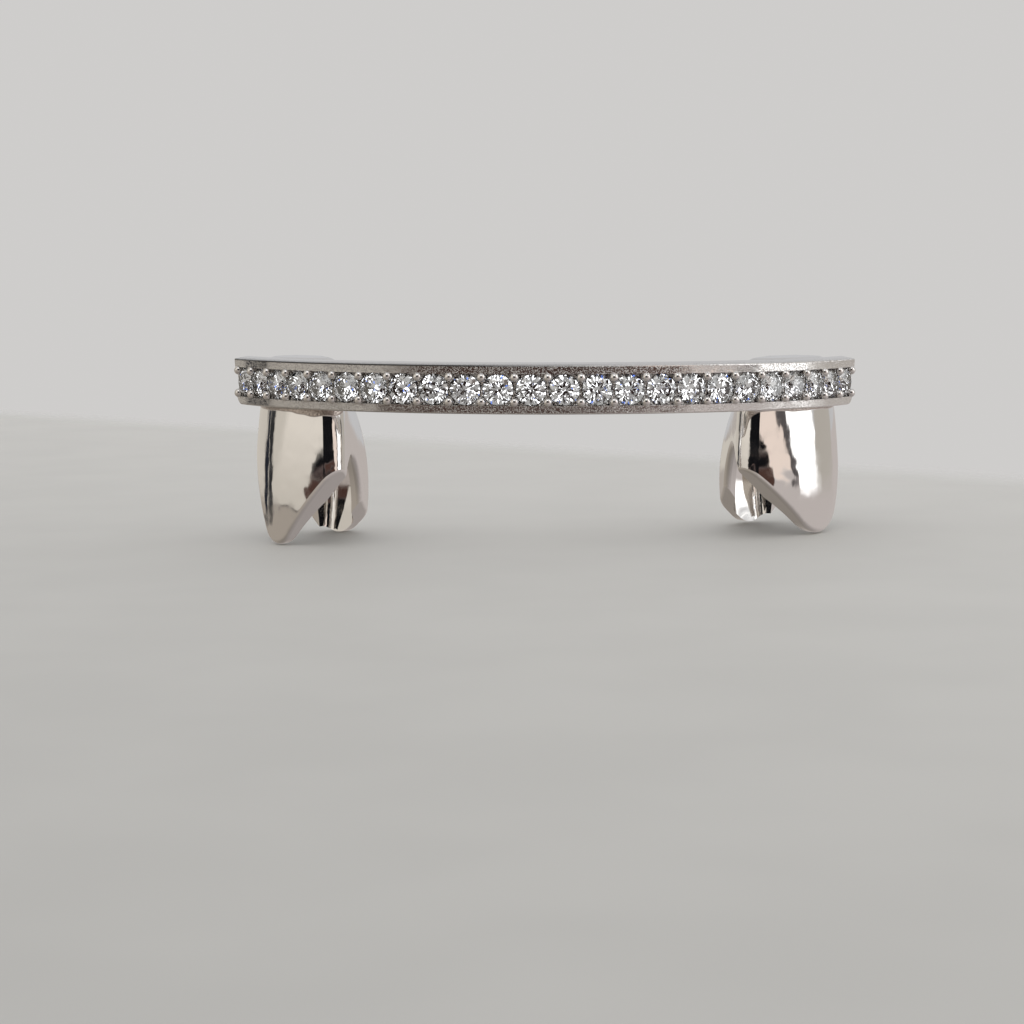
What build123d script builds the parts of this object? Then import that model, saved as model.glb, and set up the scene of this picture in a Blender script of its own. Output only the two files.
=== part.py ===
from build123d import *
from collections import namedtuple
from math import atan2, cos, degrees, radians, sin, sqrt, tan
import os

# A lower-teeth grill: two canine caps joined by a curved bar set with one row of round stones.
# Millimetres and degrees. It is worked out level, with x across the mouth, y from the lips to the
# tongue and z up, from the middle of the bar's front top edge. At the end it is stood on its caps.

# Arch of the bar's front face, seen from above: a wide middle arc and a tighter arc at each end
middle_radius = 21.0
end_radius = 17.2
middle_half_angle = 36.0

# Round brilliant-cut stones in one row
stone_count = 24
stone_diameter = 1.62
stone_gap = 0.13
stone_clearance = 0.02
girdle_sink = 0.13

# Cut of a stone: how many main facets go round it, and its sizes as shares of its diameter
main_facets = 8
table_share = 0.57
star_share = 0.76
lower_facet_share = 0.25
crown_share = 0.148
girdle_share = 0.03
pavilion_share = 0.42

# Bar section: a plain rail above and below the sunk channel that holds the stones
rail_height = 0.45
rail_clearance = 0.015
channel_depth = 0.15
metal_behind_stones = 0.5
crown_rise = 0.18
crown_depth = 0.95
back_drop = 0.12
rail_rounding = 0.08
crown_rounding = 0.5
back_rounding = 0.3

# Ends of the bar, seen from the front
end_margin = 0.45
end_slant = 0.3
end_corner_radius = 0.8

# Round bead prongs, one above and one below each gap of the row
bead_diameter = 0.5
bead_clearance = 0.025
bead_sink = 0.07

# Canine caps: how far along the arch from its middle, their turn, and the sizes that both share. The
# bow of the labial face is a share of the cap's width
cap_along = 16.15
cap_turn = 42.0
cap_wall = 0.7
roof_thickness = 1.2
cap_rise = 0.2
cap_depth = 7.3
lingual_width = 3.3
lingual_shift = 2.2
labial_bow = 0.19
labial_corner_radius = 1.0
lingual_corner_radius = 1.1
hollow_corner_radius = 0.55
roof_rounding = 0.5

# Gum line of a cap: a tip at the lips, a tip at the tongue and an arch over each side
distal_rise = 66.0
lingual_tip_radius = 1.3
lingual_rise = 42.0
labial_skirt = 1.3
lingual_skirt = 1.7
arch_height = 4.8
lip_rounding = 0.25

# The two caps: side of the mouth, width, drop from the bar's top to the tips, how far the labial tip
# lies distal of the middle, its radius, and the angle of the gum line's rise to the mesial side
Cap = namedtuple("Cap", "side width drop tip_shift tip_radius mesial_rise")
left_cap = Cap(side=-1, width=7.15, drop=10.1, tip_shift=0.4, tip_radius=1.1, mesial_rise=54)
right_cap = Cap(side=1, width=8.5, drop=9.5, tip_shift=0.9, tip_radius=2.2, mesial_rise=44)

# Sections of a cap from below its gum line to its roof. Level is a share of the cap's height,
# labial and lingual are shares of its depth from the bar's front to the middle of each face, and
# width is a share of its widths
Section = namedtuple("Section", "level labial lingual width")
cap_sections = (
    Section(level=-0.10, labial=0.01, lingual=0.92, width=0.90),
    Section(level=0.12, labial=-0.02, lingual=0.99, width=0.99),
    Section(level=0.34, labial=-0.015, lingual=1.00, width=1.00),
    Section(level=0.56, labial=0.005, lingual=0.94, width=0.98),
    Section(level=0.78, labial=0.04, lingual=0.80, width=0.93),
    Section(level=1.00, labial=0.09, lingual=0.56, width=0.80),
)

# Room that cutting tools reach past what they cut, and how near an edge lies to a face it is in
overrun = 1.0
fit_tolerance = 0.001

stone_radius = stone_diameter / 2
stone_pitch = stone_diameter + stone_gap
girdle_height = girdle_share * stone_diameter
pavilion_depth = pavilion_share * stone_diameter
bar_height = stone_diameter + 2 * (rail_clearance + rail_height)
bar_thickness = girdle_sink + girdle_height + pavilion_depth + metal_behind_stones
row_height = -bar_height / 2
middle_length = middle_radius * radians(middle_half_angle)
half_length = stone_pitch * stone_count / 2 + end_margin
end_arc_angle = degrees((half_length - middle_length) / end_radius)
middle_centre = Vector(0, middle_radius)
end_centre = middle_centre + Vector(0, end_radius - middle_radius).rotate(Axis.Z, middle_half_angle)


def on_arch(along):
    """Place on the bar's front top edge: x along the arch, y straight in from the front face."""
    reach = abs(along)
    side = 1 if along >= 0 else -1
    if reach <= middle_length:
        turn, centre, radius = degrees(reach / middle_radius), middle_centre, middle_radius
    else:
        turn = middle_half_angle + degrees((reach - middle_length) / end_radius)
        centre, radius = end_centre, end_radius
    point = centre - Vector(0, radius).rotate(Axis.Z, turn)
    return Location((side * point.X, point.Y, 0), (0, 0, side * turn))


def bar_profile():
    """Section of the bar at the middle of the arch: rails, sunk channel and crowned top."""
    points = (
        (0, -bar_height),
        (0, -bar_height + rail_height),
        (channel_depth, -bar_height + rail_height),
        (channel_depth, -rail_height),
        (0, -rail_height),
        (0, 0),
        (crown_depth, crown_rise),
        (bar_thickness, -back_drop),
        (bar_thickness, -bar_height),
    )
    profile = make_face(Polyline(*points, close=True))
    roundings = (
        (0, rail_rounding), (5, rail_rounding), (6, crown_rounding), (7, back_rounding), (8, rail_rounding),
    )
    for index, radius in roundings:
        corner = profile.vertices().sort_by_distance((*points[index], 0))[0]
        profile = fillet(corner, radius)
    return Plane.YZ * profile


def end_cutter():
    """Tool that slants the right end of the bar and rounds its lower corner."""
    lower = -bar_height
    corner_centre = Vector(-end_slant - end_corner_radius, lower + end_corner_radius)
    shoulder = corner_centre + Vector(end_corner_radius, 0)
    corner = corner_centre + Vector(1, -1).normalized() * end_corner_radius
    foot = corner_centre - Vector(0, end_corner_radius)
    outline = Curve() + [
        Line((0, crown_rise + overrun), (0, 0)),
        Line((0, 0), shoulder),
        ThreePointArc(shoulder, corner, foot),
        Polyline(
            foot,
            (foot.X, lower - overrun),
            (overrun, lower - overrun),
            (overrun, crown_rise + overrun),
            (0, crown_rise + overrun),
        ),
    ]
    tool = extrude(Plane.XZ * make_face(outline), bar_thickness + overrun, both=True)
    return on_arch(half_length) * tool


def make_bar():
    """Solid bar between the two ends of the arch, without stones."""
    profile = bar_profile()
    middle_axis = Axis(middle_centre, (0, 0, 1))
    end_axis = Axis(end_centre, (0, 0, 1))
    middle = revolve(profile.rotate(middle_axis, -middle_half_angle), middle_axis, 2 * middle_half_angle)
    end = revolve(profile.rotate(middle_axis, middle_half_angle), end_axis, end_arc_angle)
    end -= end_cutter()
    return middle + end + mirror(end, about=Plane.YZ)


def egg(labial, lingual, bow, corners, labial_radius, lingual_radius, level):
    """Level section of a cap, wide and bowed at the lips and narrow at the tongue."""
    mesial_labial, distal_labial, mesial_lingual, distal_lingual = corners
    middle = (mesial_labial + distal_labial) / 2
    behind_bow = labial + bow
    outline = Curve() + [
        ThreePointArc((mesial_labial, behind_bow), (middle, labial), (distal_labial, behind_bow)),
        Line((distal_labial, behind_bow), (distal_lingual, lingual)),
        Line((distal_lingual, lingual), (mesial_lingual, lingual)),
        Line((mesial_lingual, lingual), (mesial_labial, behind_bow)),
    ]
    section = make_face(outline)
    front = section.vertices().sort_by(Axis.Y)[:2]
    section = fillet(front, labial_radius)
    back = section.vertices().sort_by(Axis.Y)[-2:]
    section = fillet(back, lingual_radius)
    return Pos(0, 0, level) * section


def cap_corners(cap, row):
    """Corners of the outer section before rounding: mesial and distal at the lips, then the tongue."""
    half = cap.width * row.width / 2
    half_lingual = lingual_width * row.width / 2
    return -half, half, lingual_shift - half_lingual, lingual_shift + half_lingual


def cap_bow(cap, row):
    return labial_bow * cap.width * row.width


def cap_level(cap, row):
    return -cap.drop + row.level * (cap.drop + cap_rise)


def cap_body(cap):
    """Outside of a cap, solid, from below its gum line to its domed roof."""
    sections = []
    for row in cap_sections:
        sections.append(egg(
            row.labial * cap_depth,
            row.lingual * cap_depth,
            cap_bow(cap, row),
            cap_corners(cap, row),
            labial_corner_radius * row.width,
            lingual_corner_radius * min(row.width, row.lingual - row.labial),
            cap_level(cap, row),
        ))
    body = loft(sections)
    return fillet(body.faces().sort_by(Axis.Z)[-1].edges(), roof_rounding)


def hollow_rows(cap):
    """Rows of the hollow: those of the outside up to the last, then one under the roof between the two."""
    below, above = cap_sections[-2:]
    roof = 1 - roof_thickness / (cap.drop + cap_rise)
    share = (roof - below.level) / (above.level - below.level)
    under_roof = Section(*(low + share * (high - low) for low, high in zip(below, above)))
    return [*cap_sections[:-1], under_roof]


def cap_hollow(cap):
    """Room for the tooth: the outside moved in by the wall, kept behind the bar and under the roof."""
    sections = []
    for row in hollow_rows(cap):
        level = cap_level(cap, row)
        labial, lingual = row.labial * cap_depth, row.lingual * cap_depth
        mesial_labial, distal_labial, mesial_lingual, distal_lingual = cap_corners(cap, row)
        inner_labial = labial + cap_wall
        if level > -bar_height:
            inner_labial = max(inner_labial, bar_thickness)
        inner_lingual = lingual - cap_wall
        bow = cap_bow(cap, row)
        side_depth = lingual - labial - bow
        mesial_slope = (mesial_lingual - mesial_labial) / side_depth
        distal_slope = (distal_lingual - distal_labial) / side_depth
        mesial_wall = cap_wall * sqrt(1 + mesial_slope ** 2)
        distal_wall = cap_wall * sqrt(1 + distal_slope ** 2)
        corners = (
            mesial_labial + mesial_slope * (inner_labial - labial) + mesial_wall,
            distal_labial + distal_slope * (inner_labial - labial) - distal_wall,
            mesial_lingual - mesial_slope * cap_wall + mesial_wall,
            distal_lingual - distal_slope * cap_wall - distal_wall,
        )
        radius = hollow_corner_radius * row.width
        sections.append(egg(inner_labial, inner_lingual, bow, corners, radius, radius, level))
    return loft(sections)


def tip_cutter(cap, tip_x, tip_radius, mesial_angle, distal_angle, start, end):
    """Tool below a rounded tip that rises to both sides, reaching from start to end in depth."""
    centre = Vector(tip_x, -cap.drop + tip_radius)
    mesial = centre - Vector(0, tip_radius).rotate(Axis.Z, -mesial_angle)
    distal = centre - Vector(0, tip_radius).rotate(Axis.Z, distal_angle)
    reach = cap.width
    below = -cap.drop - reach
    mesial_end = mesial + Vector(-reach, reach * tan(radians(mesial_angle)))
    distal_end = distal + Vector(reach, reach * tan(radians(distal_angle)))
    outline = Curve() + [
        Line(mesial_end, mesial),
        ThreePointArc(mesial, (tip_x, -cap.drop), distal),
        Polyline(distal, distal_end, (distal_end.X, below), (mesial_end.X, below), mesial_end),
    ]
    return Pos(0, start, 0) * extrude(Plane.XZ * make_face(outline), start - end)


def gum_line_cutters(cap):
    """Tools that cut the gum line: below each tip, and an arch through both sides."""
    arch_width = cap_depth - labial_skirt - lingual_skirt
    arch_middle = labial_skirt + arch_width / 2
    oval = Ellipse(arch_width / 2, arch_height)
    side_arch = Pos(0, arch_middle, -cap.drop) * extrude(Plane.YZ * oval, cap.width, both=True)
    labial_tip = tip_cutter(cap, cap.tip_shift, cap.tip_radius, cap.mesial_rise, distal_rise,
                            -overrun, arch_middle)
    lingual_tip = tip_cutter(cap, lingual_shift, lingual_tip_radius, lingual_rise, lingual_rise,
                             arch_middle, cap_depth + overrun)
    return [labial_tip, lingual_tip, side_arch]


def on_faces(edge, *shapes):
    """Whether an edge lies in the faces of any of the shapes."""
    probes = [Vertex(edge @ share) for share in (0.3, 0.7)]
    return any(
        all(probe.distance_to(face) < fit_tolerance for probe in probes)
        for shape in shapes for face in shape.faces()
    )


def make_cap(cap):
    """Hollow cap with a rounded lip along the outside of its gum line, in place on its side."""
    body, tools = cap_body(cap), gum_line_cutters(cap)
    shell = body - [cap_hollow(cap), *tools]
    lips = [edge for edge in shell.edges() if on_faces(edge, body) and on_faces(edge, *tools)]
    placed = cap_place * fillet(lips, lip_rounding)
    return placed if cap.side > 0 else mirror(placed, about=Plane.YZ)


def make_stone():
    """Round brilliant with its girdle's upper edge at z = 0 and its table up."""
    radius = stone_radius
    table_radius = table_share * radius
    star_radius = star_share * radius
    lower_radius = lower_facet_share * radius
    crown_height = crown_share * stone_diameter
    facet_angle = 360 / main_facets
    between = facet_angle / 2
    flat_share = cos(radians(between))
    star_height = crown_height * (radius - star_radius * flat_share) / (radius - table_radius)
    culet = -girdle_height - pavilion_depth
    lower_height = culet + pavilion_depth * lower_radius * flat_share / radius

    def ring(distance, height, start):
        return [
            Vector(distance * cos(radians(angle)), distance * sin(radians(angle)), height)
            for angle in (start + facet_angle * step for step in range(main_facets))
        ]

    table = ring(table_radius, crown_height, 0)
    star = ring(star_radius, star_height, between)
    main_girdle, half_girdle = ring(radius, 0, 0), ring(radius, 0, between)
    main_base, half_base = ring(radius, -girdle_height, 0), ring(radius, -girdle_height, between)
    lower = ring(lower_radius, lower_height, between)
    bottom = Vector(0, 0, culet)
    facets = [table]
    for step in range(main_facets):
        after = (step + 1) % main_facets
        facets += [
            [table[step], star[step], table[after]],
            [table[step], star[step - 1], main_girdle[step], star[step]],
            [star[step], main_girdle[step], half_girdle[step]],
            [star[step], half_girdle[step], main_girdle[after]],
            [main_girdle[step], main_base[step], half_base[step], half_girdle[step]],
            [half_girdle[step], half_base[step], main_base[after], main_girdle[after]],
            [lower[step], half_base[step], main_base[step]],
            [lower[step], main_base[after], half_base[step]],
            [bottom, lower[step], main_base[step], lower[step - 1]],
        ]
    return Solid(Shell([Face(Wire.make_polygon(points)) for points in facets]))


def make_seat():
    """Drilled seat: the stone's girdle and pavilion with clearance, open at the front."""
    radius = stone_radius + stone_clearance
    shoulder = -girdle_height - stone_clearance
    depth = pavilion_depth * radius / stone_radius
    outline = Polyline(
        (0, shoulder - depth), (radius, shoulder), (radius, overrun), (0, overrun), close=True,
    )
    return revolve(Plane.XZ * make_face(outline), Axis.Z)


def stone_places():
    """Places of the stones along the row, each with z straight out of the bar's front."""
    first = -stone_pitch * (stone_count - 1) / 2
    facing = Location((0, girdle_sink, row_height), (90, 0, 0))
    return [on_arch(first + stone_pitch * index) * facing for index in range(stone_count)]


def make_beads():
    """Beads above and below every gap, and at both ends of the row."""
    first = -stone_pitch * stone_count / 2
    bead_radius = bead_diameter / 2
    from_stone = stone_radius + bead_clearance + bead_radius
    lift = sqrt(from_stone ** 2 - (stone_pitch / 2) ** 2)
    bead = Sphere(bead_radius)
    return [
        on_arch(first + stone_pitch * index) * Pos(0, bead_sink, row_height + offset) * bead
        for index in range(stone_count + 1)
        for offset in (-lift, lift)
    ]


def make_frame():
    """Bar, caps and beads as one piece of soldered metal."""
    frame = make_bar() + make_cap(left_cap) + make_cap(right_cap)
    frame -= [place * make_seat() for place in stone_places()]
    frame += make_beads()
    return frame


def resting_place(frame):
    """Move that stands the level grill on both labial tips, with its box centred over the origin."""
    left, right = (
        (cap_place * Pos(cap.tip_shift, 0, -cap.drop)).position for cap in (left_cap, right_cap)
    )
    roll = degrees(atan2(right.Z - left.Z, right.X + left.X))
    level_to_roll = Location((0, 0, 0), (0, roll, 0))
    box = (level_to_roll * frame).bounding_box()
    return Pos(-box.center().X, -box.center().Y, -box.min.Z) * level_to_roll


# Place of a cap on the right side, where its x runs distal and its y in from the bar's front
cap_place = Location(on_arch(cap_along).position, (0, 0, cap_turn))

frame = make_frame()
stones = [place * make_stone() for place in stone_places()]
rest = resting_place(frame)

os.makedirs("parts", exist_ok=True)
export_step(rest * frame, "parts/grill_frame.step")
for number, stone in enumerate(stones, start=1):
    export_step(rest * stone, f"parts/stone_{number:02d}.step")
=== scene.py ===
import math
from collections import namedtuple

import bpy
from mathutils import Matrix, Vector

# A lower-teeth grill standing on a pale floor: polished white metal and a row of clear stones.
# Metres. The grill's own level frame has x across the mouth, y from the lips to the tongue and z up,
# from the middle of the bar's front top edge. On the floor it leans by a small roll.
mm = 0.001
roll = math.radians(1.14144)
level_origin = Vector((0.013183, -6.69117, 9.86588)) * mm

# Camera, in the grill's level frame
camera_position = Vector((-1.86, -110.0, 4.3)) * mm
camera_pitch = math.radians(6.2)
camera_clip = 1 * mm
focal_length = 74.25
sensor_width = 36.0

# Arch of the bar's front face: a middle arc and an arc at each end
middle_radius = 21.0 * mm
end_radius = 17.2 * mm
middle_half_angle = math.radians(36)

# Zones of the bar's finish, and how softly they end
bar_height = 2.55 * mm
rail_height = 0.45 * mm
channel_depth = 0.15 * mm
foot_fade = 0.08 * mm
row_fade = 0.02 * mm
proud_of_rail = 0.03 * mm

# Floor: a square whose far edge is slanted and fades out, with painted light that makes it darker near the
# camera and lighter towards the far right, and the wall's even grey behind it
floor_near = 130 * mm
floor_side = 190 * mm
floor_far = 49 * mm
floor_turn = math.radians(-48)
floor_fade = 12 * mm
floor_colour = (0.575, 0.564, 0.525)
floor_roughness = 0.6
# Painted light on the floor: its near tone darkened, its far tone lightened
near_painted_shade = 0.87
far_painted_light = 1.25
mottle_size = 9 * mm
mottle_share = 0.1
wall_colour = (0.62, 0.61, 0.60)
studio_light = (0.80, 0.80, 0.82)

# Finish of the metal: how rough its zones are, the painted shade that darkens some of them, and where the
# polish is worn
metal_colour = (0.86, 0.84, 0.82)
mirror_roughness = 0.07
rail_roughness = 0.11
bead_roughness = 0.22
# Painted shade on the rails: darker on the left, lighter to the right, changing over this span of x
left_rail_painted_shade = 0.7
right_rail_painted_shade = 0.97
rail_painted_shade_span = 0.5 * mm, 6 * mm
# Painted shade in the recessed channel between the stones
channel_painted_shade = 0.5
worn_size = 1.1 * mm
worn_range = 0.45, 0.65
least_worn = 0.6
most_worn = 1.7

# Solder seam below the bar: its height at the left cap's outer and inner side and at the right cap
seam_outer = 0.15 * mm
seam_inner = 0.55 * mm
seam_right = 0.12 * mm
seam_outer_x = -16 * mm
seam_inner_x = -10 * mm
seam_reach = 1.2 * mm
seam_wander = 1.6 * mm
seam_detail = 1.0
seam_colour = (0.50, 0.44, 0.40)

# Painted shade: a dark line on the left half of the bar's upper front edge
edge_height = 0.08 * mm
edge_depth = 0.12 * mm
edge_painted_shade = 0.12
edge_fade_from = -6 * mm
edge_fade_to = 4 * mm

# Relief of the surfaces: size, noise detail and depth of their marks
Marks = namedtuple("Marks", "size detail depth")
waves = Marks(2.4 * mm, 2.0, 0.035 * mm)
scratches = Marks(0.05 * mm, 3.0, 0.0012 * mm)
grain = Marks(0.07 * mm, 2.0, 0.02 * mm)
solder_lumps = Marks(0.12 * mm, 3.0, 0.05 * mm)
polish_marks = Marks(0.3 * mm, 2.0, 0.0015 * mm)
cut_size = 0.14 * mm
cut_depth = 0.09 * mm
scratch_stretch = 0.08
light_scratch = 0.3
grain_range = 0.52, 0.68

# Stones, and the pattern of lamps that they send back
stone_colour = (0.97, 0.98, 1.0)
stone_ior = 2.4
lamp_cells = 4.5
grey_from = 0.45, 0.5
lamp_from = 0.57, 0.6
flash_from = 0.975, 0.985
stone_dark = (0.02, 0.017, 0.016)
stone_grey = (0.40, 0.39, 0.38)
stone_lamp = (2.8, 2.8, 2.8)
stone_flash = (0.25, 0.5, 1.6)

# Mirrored floor and far wall, with the elevations where the one turns into the other
mirrored_floor_left = (0.38, 0.34, 0.295)
mirrored_floor_right = (0.54, 0.495, 0.48)
mirrored_far_wall = (0.55, 0.55, 0.56)
sideways_reach = 0.8
floor_ends = math.radians(-2.2), math.radians(-1.4)
underfoot = math.radians(-60), math.radians(-10)
underfoot_shade = 0.6

# What the metal mirrors: boxes of directions in degrees from the front and the horizon, later ones on top.
# The sides of a box lean by so many degrees of azimuth for each degree of elevation.
Patch = namedtuple("Patch", "azimuth elevation half_azimuth half_elevation soft lean light")
room = (
    Patch(-2, 20, 48, 19.5, 1.0, 0.0, (0.006, 0.006, 0.007)),  # dark side of the room
    Patch(-8, -2.5, 52, 3.5, 0.8, 0.0, (0.075, 0.040, 0.032)),  # its brown foot
    Patch(-106, 27, 60, 31.2, 0.4, 1.8, (0.60, 0.56, 0.50)),  # cream wall on the left
    Patch(-72, 27, 26, 25, 6.0, 1.8, (0.78, 0.73, 0.66)),  # light falling on that wall
    Patch(-74, -4.3, 30, 0.2, 0.15, 0.0, (0.10, 0.09, 0.085)),  # thin line at the wall's foot
    Patch(-109, 27, 4, 33, 1.5, 0.0, (0.03, 0.03, 0.032)),  # dark streaks beside the wall
    Patch(-119, 27, 4, 33, 1.5, 0.0, (0.02, 0.022, 0.03)),
    Patch(52, 24, 10, 25.7, 0.5, -1.2, (0.89, 0.76, 0.68)),  # warm panel on the right
    Patch(65, 24, 4, 27.7, 0.8, -1.2, (0.10, 0.09, 0.09)),  # dark gap between panel and window
    Patch(85, 24, 17, 29, 1.2, -1.2, (1.6, 1.6, 1.6)),  # window
    Patch(118, 24, 17, 29, 3.0, 0.0, (0.47, 0.44, 0.40)),  # grey wall behind the window
    Patch(0, 58, 34, 10, 4.0, 0.0, (1.8, 1.8, 1.8)),  # lamp overhead
)

# How far the edges of the boxes stray, in lumps of this size, and how far from the horizon they lean
ragged_edge = math.radians(2.5)
ragged_size = 0.12
ragged_detail = 3.0
lean_reach = math.radians(9)

# Values between which most noise lies
noise_range = 0.3, 0.7


class Graph:
    """Short way to add and join shader nodes."""

    def __init__(self, tree):
        self.tree = tree
        tree.nodes.clear()

    def add(self, kind, inputs=None, **settings):
        node = self.tree.nodes.new("ShaderNode" + kind)
        for name, value in settings.items():
            setattr(node, name, value)
        for key, value in (inputs or {}).items():
            if isinstance(value, bpy.types.NodeSocket):
                self.tree.links.new(value, node.inputs[key])
            else:
                node.inputs[key].default_value = value
        return node

    def math(self, operation, *values):
        return self.add("Math", dict(enumerate(values)), operation=operation).outputs[0]

    def ramp(self, value, low, high, to_low=0.0, to_high=1.0):
        inputs = {"Value": value, "From Min": low, "From Max": high, "To Min": to_low, "To Max": to_high}
        return self.add("MapRange", inputs, interpolation_type="SMOOTHSTEP").outputs[0]

    def blend(self, share, first, second):
        """Number between two numbers."""
        return self.add("Mix", {0: share, 2: first, 3: second}, data_type="FLOAT").outputs[0]

    def mix(self, share, first, second):
        """Colour between two colours."""
        return self.add("Mix", {0: share, 6: first, 7: second}, data_type="RGBA").outputs[2]

    def shade(self, share, colour):
        """Colour darkened to a share of itself."""
        return self.mix(share, rgb((0.0, 0.0, 0.0)), colour)

    def noise(self, where, size, detail=2.0):
        """Noise whose lumps are about as large as the size given."""
        inputs = {"Vector": where, "Scale": 1.0 / size, "Detail": detail}
        return self.add("TexNoise", inputs).outputs[0]

    def bump(self, height, depth, below=None):
        inputs = {"Strength": 1.0, "Distance": depth, "Height": height}
        if below is not None:
            inputs["Normal"] = below
        return self.add("Bump", inputs).outputs[0]


def rgb(colour):
    return (*colour, 1.0)


def new_graph(name):
    material = bpy.data.materials.new(name)
    material.use_nodes = True
    return material, Graph(material.node_tree)


def level_to_row():
    """Move from the grill's level frame to the frame it stands in."""
    return Matrix.Translation(level_origin) @ Matrix.Rotation(roll, 4, "Y")


def place_camera():
    data = bpy.data.cameras.new("camera")
    data.lens = focal_length
    data.sensor_width = sensor_width
    data.clip_start = camera_clip
    camera = bpy.data.objects.new("camera", data)
    bpy.context.scene.collection.objects.link(camera)
    look = Matrix.Rotation(math.radians(90) - camera_pitch, 4, "X")
    camera.matrix_world = level_to_row() @ Matrix.Translation(camera_position) @ look
    bpy.context.scene.camera = camera


def level_coordinates(graph, where):
    turn = {"Vector": where, "Location": level_origin, "Rotation": (0.0, roll, 0.0)}
    level = graph.add("Mapping", turn, vector_type="TEXTURE").outputs[0]
    return graph.add("SeparateXYZ", {0: level}).outputs[:3]


def behind_front(graph, x, y):
    """Distance behind the bar's front face, from level coordinates."""
    joint = middle_radius * math.sin(middle_half_angle)
    inward = middle_radius - end_radius
    end_centre = inward * math.sin(middle_half_angle), middle_radius - inward * math.cos(middle_half_angle)
    across = graph.math("ABSOLUTE", x)
    at_end = graph.math("GREATER_THAN", across, joint)
    from_x = graph.math("SUBTRACT", across, graph.blend(at_end, 0.0, end_centre[0]))
    from_y = graph.math("SUBTRACT", y, graph.blend(at_end, middle_radius, end_centre[1]))
    squares = graph.math("MULTIPLY_ADD", from_x, from_x, graph.math("MULTIPLY", from_y, from_y))
    return graph.math("SUBTRACT", graph.blend(at_end, middle_radius, end_radius), graph.math("SQRT", squares))


def bar_zones(graph, z, behind):
    """Shares of the rails, of the channel between the stones and of the beads."""
    above_foot = graph.ramp(z, -bar_height - foot_fade, -bar_height)
    near_front = graph.ramp(behind, 2 * channel_depth, 3 * channel_depth, 1.0, 0.0)
    bar = graph.math("MULTIPLY", above_foot, near_front)
    from_row = graph.math("ABSOLUTE", graph.math("ADD", z, bar_height / 2))
    row_half = bar_height / 2 - rail_height
    in_row = graph.ramp(from_row, row_half - row_fade, row_half + row_fade, 1.0, 0.0)
    sunk = graph.ramp(behind, 0.3 * channel_depth, 0.6 * channel_depth)
    row = graph.math("MULTIPLY", bar, in_row)
    channel = graph.math("MULTIPLY", row, sunk)
    bead = graph.math("SUBTRACT", row, channel)
    flush = graph.ramp(behind, -2 * proud_of_rail, -proud_of_rail)
    rail = graph.math("MULTIPLY", bar, graph.math("MULTIPLY", flush, graph.math("SUBTRACT", 1.0, in_row)))
    return rail, channel, bead


def painted_dark_edge(graph, x, z, behind):
    """Share of the painted shade: a dark line on the left half of the bar's top edge."""
    at_edge = graph.ramp(graph.math("ABSOLUTE", z), 0.6 * edge_height, edge_height, 1.0, 0.0)
    left_edge = graph.math("MULTIPLY", at_edge, graph.ramp(x, edge_fade_from, edge_fade_to, 1.0, 0.0))
    return graph.math("MULTIPLY", left_edge, graph.ramp(behind, edge_depth * 2 / 3, edge_depth, 1.0, 0.0))


def solder_seam(graph, where, x, z, behind):
    """Share of the seam that joins the caps to the bar's foot, with a wandering lower edge."""
    below_bar = graph.math("SUBTRACT", -bar_height, z)
    left_height = graph.ramp(x, seam_outer_x, seam_inner_x, seam_outer, seam_inner)
    height = graph.blend(graph.math("GREATER_THAN", x, 0.0), left_height, seam_right)
    height = graph.math("MULTIPLY", height, graph.ramp(behind, seam_reach, 2 * seam_reach, 1.0, 0.0))
    wander = graph.noise(where, seam_wander, seam_detail)
    foot = graph.math("MULTIPLY", wander, graph.math("MULTIPLY", height, 2.0))
    under = graph.ramp(graph.math("SUBTRACT", foot, below_bar), 0.0, foot_fade)
    return graph.math("MULTIPLY", under, graph.math("GREATER_THAN", below_bar, 0.0))


def metal_relief(graph, where, worn, rail, channel, seam):
    """Normal of the metal, from its broad waves to the marks of each zone."""
    normal = graph.bump(graph.noise(where, waves.size, waves.detail), waves.depth)
    stretched = graph.add("Mapping", {"Vector": where, "Scale": (1.0, 1.0, scratch_stretch)}).outputs[0]
    lines = graph.noise(stretched, scratches.size, scratches.detail)
    lines = graph.math("MULTIPLY", lines, graph.blend(worn, light_scratch, 1.0))
    normal = graph.bump(lines, scratches.depth, normal)
    brushed = graph.ramp(graph.noise(where, grain.size, grain.detail), *grain_range)
    normal = graph.bump(graph.math("MULTIPLY", brushed, rail), grain.depth, normal)
    cuts = graph.add("TexVoronoi", {"Vector": where, "Scale": 1.0 / cut_size}).outputs["Distance"]
    normal = graph.bump(graph.math("MULTIPLY", cuts, channel), cut_depth, normal)
    lumps = graph.noise(where, solder_lumps.size, solder_lumps.detail)
    return graph.bump(graph.math("MULTIPLY", lumps, seam), solder_lumps.depth, normal)


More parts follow.
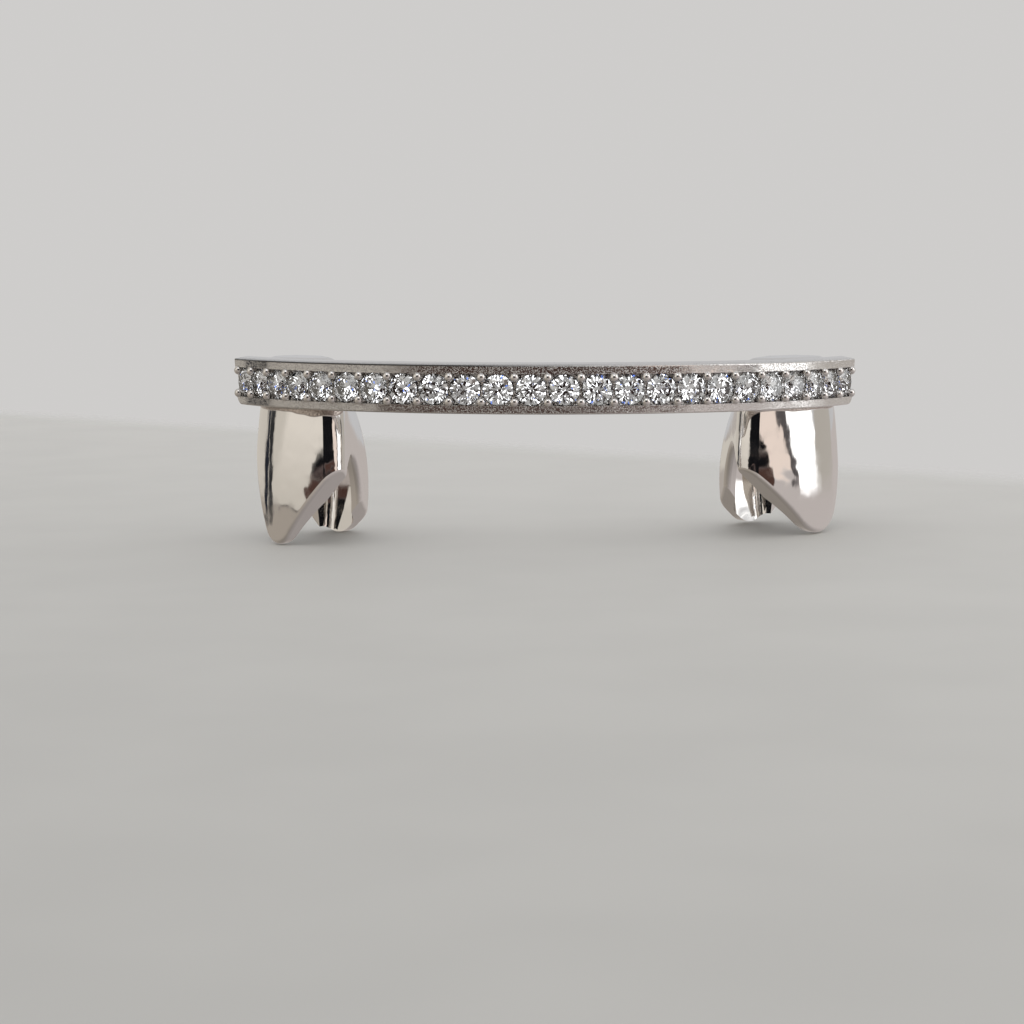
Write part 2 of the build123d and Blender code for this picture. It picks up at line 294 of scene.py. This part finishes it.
def metal_material():
    """White metal: mirror-polished caps, finely brushed rails, bright-cut metal between the stones, and
    painted shade on the rails, in the channel and along the left top edge.
    """
    material, graph = new_graph("polished white metal")
    where = graph.add("TexCoord").outputs["Object"]
    x, y, z = level_coordinates(graph, where)
    behind = behind_front(graph, x, y)
    rail, channel, bead = bar_zones(graph, z, behind)
    edge = painted_dark_edge(graph, x, z, behind)
    seam = solder_seam(graph, where, x, z, behind)
    worn = graph.ramp(graph.noise(where, worn_size), *worn_range)

    mirror = graph.blend(worn, mirror_roughness * least_worn, mirror_roughness * most_worn)
    roughness = graph.blend(bead, graph.blend(rail, mirror, rail_roughness), bead_roughness)
    # Painted shade on the rails, darker on the left than on the right
    rail_painted_shade = graph.ramp(x, *rail_painted_shade_span, left_rail_painted_shade, right_rail_painted_shade)
    shade = graph.blend(rail, 1.0, rail_painted_shade)
    # Painted shade in the channel between the stones
    shade = graph.math("MULTIPLY", shade, graph.blend(channel, 1.0, channel_painted_shade))
    # Painted shade along the left half of the bar's top edge
    shade = graph.math("MULTIPLY", shade, graph.blend(edge, 1.0, edge_painted_shade))
    colour = graph.shade(shade, graph.mix(seam, rgb(metal_colour), rgb(seam_colour)))
    normal = metal_relief(graph, where, worn, rail, channel, seam)
    shader = graph.add("BsdfPrincipled", {
        "Base Color": colour, "Metallic": 1.0, "Roughness": roughness, "Normal": normal,
    })
    graph.add("OutputMaterial", {"Surface": shader.outputs[0]})
    return material


def stone_material():
    """Clear cut stone with faint polishing marks on its facets."""
    material, graph = new_graph("clear cut stone")
    where = graph.add("TexCoord").outputs["Object"]
    marks = graph.bump(graph.noise(where, polish_marks.size, polish_marks.detail), polish_marks.depth)
    shader = graph.add("BsdfPrincipled", {
        "Base Color": rgb(stone_colour), "Roughness": 0.0, "IOR": stone_ior, "Transmission Weight": 1.0,
        "Normal": marks,
    })
    graph.add("OutputMaterial", {"Surface": shader.outputs[0]})
    return material


def floor_material():
    """Pale matt floor with a faint mottle and painted light, darker near and lighter far, fading out along
    its far edge.
    """
    material, graph = new_graph("pale floor")
    where = graph.add("TexCoord").outputs["Object"]
    far = graph.add("SeparateXYZ", {0: where}).outputs["Y"]
    # Painted light: the floor's tone goes from a darkened near tone to a lightened far tone
    painted_distance_light = graph.ramp(far, -floor_near, floor_far, 0.0, 1.0 - mottle_share)
    mottle = graph.ramp(graph.noise(where, mottle_size), *noise_range, 0.0, mottle_share)
    painted_near_tone = rgb(tuple(part * near_painted_shade for part in floor_colour))
    painted_far_tone = rgb(tuple(part * far_painted_light for part in floor_colour))
    colour = graph.mix(graph.math("ADD", painted_distance_light, mottle), painted_near_tone, painted_far_tone)
    shader = graph.add("BsdfPrincipled", {"Base Color": colour, "Roughness": floor_roughness})
    fading = graph.ramp(far, floor_far - floor_fade, floor_far)
    clear = graph.add("BsdfTransparent")
    surface = graph.add("MixShader", {0: fading, 1: shader.outputs[0], 2: clear.outputs[0]})
    graph.add("OutputMaterial", {"Surface": surface.outputs[0]})
    return material


def make_floor():
    mesh = bpy.data.meshes.new("floor")
    corners = (
        (-floor_side, -floor_near, 0.0), (floor_side, -floor_near, 0.0),
        (floor_side, floor_far, 0.0), (-floor_side, floor_far, 0.0),
    )
    mesh.from_pydata(corners, [], [(0, 1, 2, 3)])
    floor = bpy.data.objects.new("floor", mesh)
    bpy.context.scene.collection.objects.link(floor)
    floor.rotation_euler.z = floor_turn
    floor.visible_glossy = False
    mesh.materials.append(floor_material())


def mirrored_backdrop(graph, axes, elevation):
    """The mirrored floor, darker underfoot and lighter to the right, and the wall above it."""
    rightward = graph.ramp(axes["X"], -sideways_reach, sideways_reach)
    floor = graph.mix(rightward, rgb(mirrored_floor_left), rgb(mirrored_floor_right))
    floor = graph.shade(graph.ramp(elevation, *underfoot, underfoot_shade, 1.0), floor)
    return graph.mix(graph.ramp(elevation, *floor_ends), floor, rgb(mirrored_far_wall))


def metal_view(graph, direction, axes):
    """What the metal mirrors: the patches of the room over its floor and far wall."""
    lumps = graph.noise(direction, ragged_size, ragged_detail)
    ragged = graph.ramp(lumps, *noise_range, -ragged_edge, ragged_edge)
    azimuth = graph.math("ARCTAN2", axes["X"], graph.math("MULTIPLY", axes["Y"], -1.0))
    azimuth = graph.math("ADD", azimuth, ragged)
    elevation = graph.math("ARCSINE", axes["Z"])
    near_horizon = graph.ramp(elevation, -lean_reach, lean_reach, -lean_reach, lean_reach)

    def leaned_by(lean):
        return graph.math("SUBTRACT", azimuth, graph.math("MULTIPLY", near_horizon, lean))

    def inside(value, middle, half, soft):
        """1 within half of the middle, falling to 0 over the soft edge."""
        away = graph.math("ABSOLUTE", graph.math("SUBTRACT", value, math.radians(middle)))
        return graph.ramp(away, math.radians(half - soft), math.radians(half + soft), 1.0, 0.0)

    leaned = {lean: leaned_by(lean) for lean in sorted({patch.lean for patch in room})}
    colour = mirrored_backdrop(graph, axes, elevation)
    for patch in room:
        side = inside(leaned[patch.lean], patch.azimuth, patch.half_azimuth, patch.soft)
        up = inside(elevation, patch.elevation, patch.half_elevation, patch.soft)
        colour = graph.mix(graph.math("MULTIPLY", side, up), colour, rgb(patch.light))
    return colour


def stone_view(graph, direction):
    """What the stones send back: a broken pattern of bright lamps, with a few coloured flashes."""
    cells = graph.add("TexVoronoi", {"Vector": direction, "Scale": lamp_cells}).outputs["Color"]
    pick, tint, _ = graph.add("SeparateColor", {0: cells}).outputs
    colour = graph.mix(graph.ramp(pick, *grey_from), rgb(stone_dark), rgb(stone_grey))
    colour = graph.mix(graph.ramp(pick, *lamp_from), colour, rgb(stone_lamp))
    return graph.mix(graph.ramp(tint, *flash_from), colour, rgb(stone_flash))


def make_world():
    """Even studio light for the floor, a room for the metal to mirror and lamps for the stones."""
    world = bpy.data.worlds.new("room")
    bpy.context.scene.world = world
    world.use_nodes = True
    graph = Graph(world.node_tree)
    direction = graph.add("TexCoord").outputs["Generated"]
    axes = graph.add("SeparateXYZ", {0: direction}).outputs
    path = graph.add("LightPath").outputs
    colour = rgb(studio_light)
    colour = graph.mix(path["Is Glossy Ray"], colour, metal_view(graph, direction, axes))
    colour = graph.mix(path["Is Transmission Ray"], colour, stone_view(graph, direction))
    colour = graph.mix(path["Is Camera Ray"], colour, rgb(wall_colour))
    background = graph.add("Background", {"Color": colour})
    graph.add("OutputWorld", {"Surface": background.outputs[0]})


def dress_nodes(nodes):
    metal = metal_material()
    stone = stone_material()
    for name, node in nodes.items():
        material = stone if name.startswith("stone_") else metal
        for slot in node.material_slots:
            slot.material = material


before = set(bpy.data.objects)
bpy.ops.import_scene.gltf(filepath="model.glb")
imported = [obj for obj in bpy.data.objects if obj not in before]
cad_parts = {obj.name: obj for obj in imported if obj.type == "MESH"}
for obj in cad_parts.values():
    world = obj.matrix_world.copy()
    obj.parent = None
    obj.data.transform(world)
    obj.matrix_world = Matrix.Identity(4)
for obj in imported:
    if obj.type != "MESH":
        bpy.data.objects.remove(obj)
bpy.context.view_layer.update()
place_camera()
make_world()
make_floor()
dress_nodes(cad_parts)
bpy.context.scene.view_settings.view_transform = "Standard"
